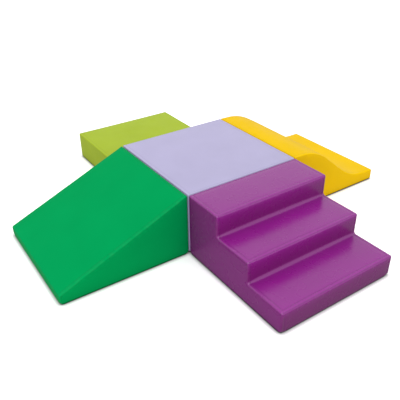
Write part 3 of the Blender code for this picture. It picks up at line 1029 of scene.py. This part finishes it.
def non_slip_fabric():
    """Dark woven fabric with small raised rubber dots."""
    nodes = Surface("non_slip_fabric", roughness=0.8, specular=0.3)
    dots = nodes.remap(nodes.cells(scale=140.0, randomness=0.0), DOT_RIM, FULL_RANGE)
    threads = nodes.waves(scale=500.0, distortion=1.0)
    tint = nodes.mix(dots, nodes.mix(threads, *PANEL_COLOURS), DOT_COLOUR)
    dotted = nodes.bump(dots, DOT_BUMP, nodes.bump(threads, WEAVE_BUMP))
    return nodes.dress(tint, dotted, nodes.remap(dots, FULL_RANGE, DOT_ROUGHNESS))


def zip_fabric():
    """The zip's grey tape, in a herringbone weave."""
    nodes = Surface("zip_fabric", roughness=0.85, specular=0.2)
    weave = nodes.waves(scale=420.0, distortion=0.8, bands_direction="DIAGONAL")
    tone = nodes.combine("MULTIPLY", weave, nodes.noise(scale=900.0, detail=3.0))
    return nodes.dress(nodes.mix(tone, *TAPE_COLOURS), nodes.bump(weave, WEAVE_BUMP))


def zip_nylon():
    """The zip's moulded teeth: grey nylon with a slightly cloudy tone."""
    nodes = Surface("zip_nylon", roughness=0.38, specular=0.5)
    cloudy = nodes.noise(scale=260.0, detail=3.0)
    uneven = nodes.remap(cloudy, NOISE_RANGE, TOOTH_ROUGHNESS)
    return nodes.dress(nodes.mix(cloudy, *TOOTH_COLOURS), roughness=uneven)


def slider_metal():
    """The slider: die-cast metal, lightly brushed along its length and dulled in places."""
    nodes = Surface("slider_metal", roughness=0.4, specular=0.5, metallic=1.0)
    brushed = nodes.bump(nodes.waves(scale=1500.0, distortion=6.0), SLIDER_BUMP)
    dull = nodes.noise(scale=320.0, detail=4.0)
    uneven = nodes.remap(dull, NOISE_RANGE, SLIDER_ROUGHNESS)
    return nodes.dress(nodes.mix(dull, *SLIDER_COLOURS), brushed, uneven)


def strip_nylon(name, scale, fuzz):
    """White hook or loop strip: a field of fine nylon ends over woven tape."""
    nodes = Surface(name, roughness=0.9, specular=0.2)
    ends = nodes.combine("MULTIPLY", nodes.cells(scale), nodes.noise(scale / 4, detail=4.0))
    return nodes.dress(nodes.mix(ends, *STRIP_COLOURS), nodes.bump(ends, fuzz))


def open_cell_foam():
    """Polyurethane foam with fine open cells and a slightly uneven grey."""
    nodes = Surface("open_cell_foam", roughness=0.95, specular=0.1)
    cells = nodes.cells(scale=900.0)
    tone = nodes.combine("MULTIPLY", cells, nodes.noise(scale=12.0, detail=3.0))
    return nodes.dress(nodes.mix(tone, *FOAM_COLOURS), nodes.bump(cells, FOAM_BUMP))


def floor_material():
    """Two equal matt layers, which together look white in the open and darken close to the object."""
    nodes = Nodes(bpy.data.materials.new("floor"))
    nodes.tree.nodes.remove(nodes.tree.nodes["Principled BSDF"])
    ray, mirrored = nodes.ray_kinds()
    plain = nodes.remap(mirrored, FULL_RANGE, (FLOOR_PALENESS, FLOOR_MIRRORED_PALENESS))
    around = nodes.add("ShaderNodeAmbientOcclusion", {"Distance": CONTACT_SHADOW_REACH})
    shadow = nodes.combine("POWER", around.outputs["AO"], CONTACT_SHADOW_DEPTH)
    seen = nodes.combine("MULTIPLY", shadow, FLOOR_SEEN_PALENESS)
    more = nodes.combine("MULTIPLY", ray["Is Camera Ray"], nodes.combine("SUBTRACT", seen, FLOOR_PALENESS))
    each = nodes.combine("MULTIPLY", nodes.combine("ADD", plain, more), LAYER_SHARE)
    matt = nodes.add("ShaderNodeBsdfDiffuse", {"Color": each}).outputs[0]
    both = nodes.add("ShaderNodeAddShader")
    for socket in both.inputs:
        nodes.fill(socket, matt)
    nodes.fill(nodes.tree.nodes["Material Output"].inputs["Surface"], both.outputs[0])
    return nodes.owner


def add_floor():
    """A pale floor that keeps the object's shadow."""
    bm = bmesh.new()
    bmesh.ops.create_grid(bm, x_segments=FLOOR_CELLS, y_segments=FLOOR_CELLS, size=FLOOR_SIZE / 2)
    place = Matrix.Translation((0, 0, cad_box[0][2] - FLOOR_DROP))
    add_mesh("floor", bm, place, floor_material())


def add_world():
    """An even sky, which is white behind the object and in its reflections."""
    world = bpy.data.worlds.new("studio")
    nodes = Nodes(world)
    ray, mirrored = nodes.ray_kinds()
    seen = nodes.combine("MAXIMUM", ray["Is Camera Ray"], mirrored)
    background = nodes.tree.nodes["Background"].inputs
    nodes.fill(background["Strength"], nodes.remap(seen, FULL_RANGE, (SKY_STRENGTH, 1.0)))
    background["Color"].default_value = (1, 1, 1, 1)
    bpy.context.scene.world = world


def add_sun():
    """A broad soft light from above, a little to the steps' side."""
    light = bpy.data.lights.new("soft_key", "SUN")
    light.energy = SUN_STRENGTH
    light.angle = SUN_ANGLE
    sun = add_object("soft_key", light)
    sun.rotation_euler = Vector(SUN_PLACE).to_track_quat("Z", "Y").to_euler()


def add_camera():
    """The photograph's camera."""
    lens = bpy.data.cameras.new("camera")
    lens.lens = CAMERA_LENS_MM
    lens.sensor_width = CAMERA_SENSOR_MM
    camera = add_object("camera", lens)
    level = Euler((QUARTER_TURN + CAMERA_TILT, 0, CAMERA_HEADING)).to_matrix().to_4x4()
    roll = Matrix.Rotation(CAMERA_ROLL, 4, "Z")
    camera.matrix_world = Matrix.Translation(CAMERA_PLACE) @ level @ roll
    bpy.context.scene.camera = camera


# Each module's hem is how dark its painted shade line at the floor is; its side tint and joint shade are
# painted shade
MODULES = (
    Module(
        name="platform", top=platform_top, turn=0, slot="lavender_vinyl",
        colour=srgb(187, 181, 218), roughness=0.38, gloss=0.40, seams=0.12, seam_radius=SEAM_RADIUS,
        hem=0.95, side_tint=(1.0, 1.0, 1.0),
    ),
    Module(
        name="steps", top=steps_top, turn=0, slot="purple_vinyl",
        colour=srgb(154, 19, 150), roughness=0.27, gloss=0.70, seams=0.7,
        hem=0.97, joint_shade=0.55, side_tint=(0.63, 0.44, 0.54),
    ),
    Module(
        name="wave", top=wave_top, turn=QUARTER_TURN, slot="yellow_vinyl",
        colour=srgb(253, 209, 0), gloss=0.05, seams=0.20, hem=0.95, side_tint=(1.0, 0.93, 0.9),
    ),
    Module(
        name="block", top=block_top, height=BLOCK_HEIGHT, turn=2 * QUARTER_TURN, slot="lime_vinyl",
        colour=srgb(174, 197, 46), gloss=0.10, seams=0.35,
        hem=0.80, joint_shade=0.2, side_tint=(1.0, 0.97, 0.97),
    ),
    Module(
        name="ramp", top=ramp_top, turn=-QUARTER_TURN, slot="green_vinyl",
        colour=srgb(0, 166, 92), gloss=0.012, seams=0.35,
        hem=0.55, joint_shade=0.6, side_tint=(1.0, 0.96, 0.84),
    ),
)


def add_module(module, others):
    """Dresses one module: cover, stitching, foam, non-slip panel, zip and its half of the strips."""
    name = module.name
    matrix = module_frame(name, module.turn)
    low, high = local_box(name + "_cover", matrix)
    size = (high.x - low.x, high.y - low.y, module.height)
    corners = outline_corners(module, size[0], low.z)
    free = name != "platform"
    bm, paths = sewn_cover(corners, size, free, module)
    cover = add_piece(name + "_sewn_cover", bm, matrix, vinyl(module), name)
    wall = cover.modifiers.new("wall", "SOLIDIFY")
    wall.thickness = COVER_THICKNESS
    wall.offset = -1
    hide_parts(name + "_cover")
    sewn_with = thread(name + "_thread", module.colour)
    add_piece(name + "_stitching", stitching(paths), matrix, sewn_with, name)
    foam = add_piece(name + "_foam", foam_core(corners, size[1]), matrix, others["foam"], name)
    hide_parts(name + "_foam_core")
    add_zip(name, size, matrix, others)
    if free:
        add_strips(name, matrix, others)


def add_zip(name, size, matrix, others):
    """The non-slip panel with the zip that is sewn into it."""
    for side, place in ((-1, "inner"), (1, "outer")):
        node = f"{name}_zip_stringer_{place}"
        low, high = local_box(node, matrix)
        bm = zip_tape(low, high, side)
        tape = add_piece(f"{name}_zip_tape_{place}", bm, matrix, others["tape"], name)
        bm = zip_teeth(low, high, side)
        teeth = add_piece(f"{name}_zip_teeth_{place}", bm, matrix, others["teeth"], name)
        teeth.data.set_sharp_from_angle(angle=SHARP_ANGLE)
        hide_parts(node)
    start, _ = local_box(name + "_zip_stringer_inner", matrix)
    _, end = local_box(name + "_zip_stringer_outer", matrix)
    bm = base_panel(size, zip_x=(start.x + end.x) / 2, zip_length=end.y - start.y)
    panel = add_piece(name + "_non_slip_panel", bm, matrix, others["panel"], name)
    panel.data.set_sharp_from_angle(angle=SHARP_ANGLE)
    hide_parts(name + "_base_panel")
    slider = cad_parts[name + "_zip_slider"]
    slider.data.materials.clear()
    slider.data.materials.append(others["slider"])


def add_strips(name, matrix, others):
    """The hook strips on a module's mating face, and the loop strips on the platform that they meet."""
    for place in ("left", "right"):
        hook, loop = f"{name}_hook_strip_{place}", f"platform_loop_strip_{name}_{place}"
        for node, kind, body, pile_side in ((hook, "hook", name, -1), (loop, "loop", "platform", 1)):
            bm = strip_pad(*local_box(node, matrix), pile_side)
            pad = add_piece(node.replace("strip", "pad"), bm, matrix, others[kind], body)
            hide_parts(node)


def main():
    """The whole scene, without the lines that start and finish it."""
    bpy.context.scene.view_settings.view_transform = "Standard"
    others = {
        "foam": open_cell_foam(),
        "panel": non_slip_fabric(),
        "tape": zip_fabric(),
        "teeth": zip_nylon(),
        "slider": slider_metal(),
        "hook": strip_nylon("hook_nylon", HOOK_SCALE, HOOK_BUMP),
        "loop": strip_nylon("loop_nylon", LOOP_SCALE, LOOP_BUMP),
    }
    add_camera()
    for module in MODULES:
        add_module(module, others)
    add_floor()
    add_world()
    add_sun()


main()
